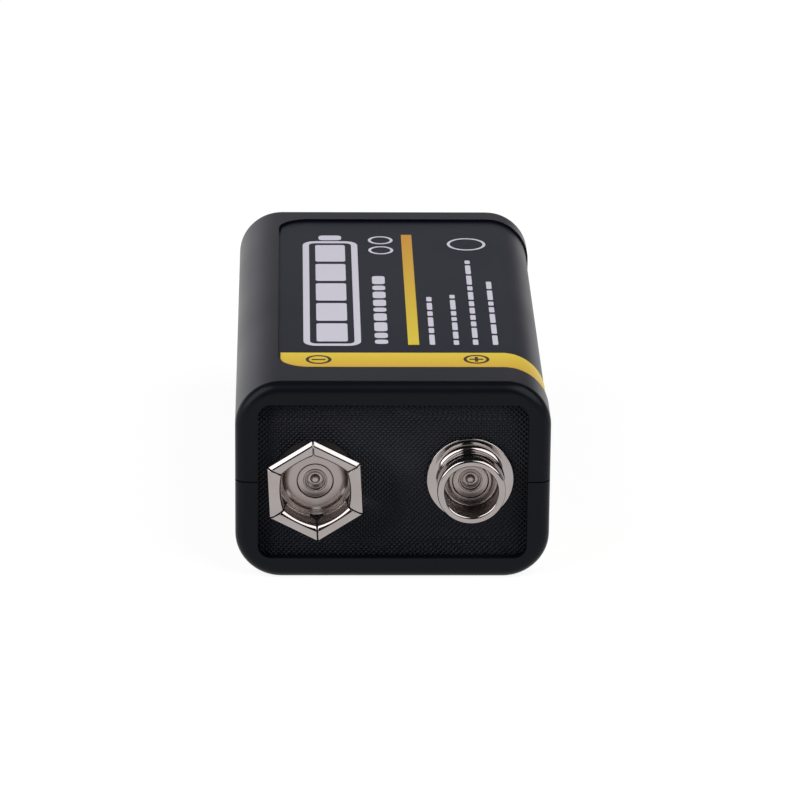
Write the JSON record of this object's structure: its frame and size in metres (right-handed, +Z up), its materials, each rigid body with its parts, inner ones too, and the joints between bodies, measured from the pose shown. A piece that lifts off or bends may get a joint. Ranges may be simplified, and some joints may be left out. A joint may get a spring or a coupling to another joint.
{
  "type": "nine volt battery",
  "caption": "Rectangular rechargeable battery with a hexagonal snap socket and a round snap stud side by side on one end.",
  "frame": {"origin": "centre of the overall footprint, on the surface that the battery lies on", "axes": "+Z up out of the broad face with the label, -Y the way the terminals point, +X to the right as seen from the terminals' end, on the positive terminal's side"},
  "size_m": [0.0258, 0.0484, 0.017],
  "materials": {
    "case_black": "satin",
    "plate_black": "fine diamond texture",
    "nickel": "bright nickel plate",
    "label_film": "semi-matte film",
    "print_yellow": "printed, yellow to orange",
    "board_green": "solder mask",
    "pack_black": "moulded",
    "capacitor_tan": "fired",
    "pouch_silver": "satin laminate",
    "tab_nickel": "bare strip",
    "card": "matt",
    "foam_grey": "matt foam"
  },
  "bodies": {
    "root": {"lower_shell": "case_black", "upper_shell": "case_black", "terminal_plate": "plate_black", "negative_socket": "nickel", "positive_stud": "nickel", "negative_rivet": "nickel", "positive_rivet": "nickel", "label_film": "label_film", "label_band": "print_yellow", "label_bar": "print_yellow", "protection_board": "board_green", "transistor_pack": "pack_black", "protection_chip": "pack_black", "resistor_1": "pack_black", "resistor_2": "pack_black", "resistor_3": "pack_black", "capacitor_1": "capacitor_tan", "capacitor_2": "capacitor_tan", "capacitor_3": "capacitor_tan", "upper_cell": "pouch_silver", "lower_cell": "pouch_silver", "upper_cell_positive_tab": "tab_nickel", "upper_cell_negative_tab": "tab_nickel", "lower_cell_positive_tab": "tab_nickel", "lower_cell_negative_tab": "tab_nickel", "insulating_card": "card", "upper_pad": "foam_grey", "lower_pad": "foam_grey", "cell_tape": "foam_grey", "end_pad": "foam_grey"}
  },
  "joints": []
}
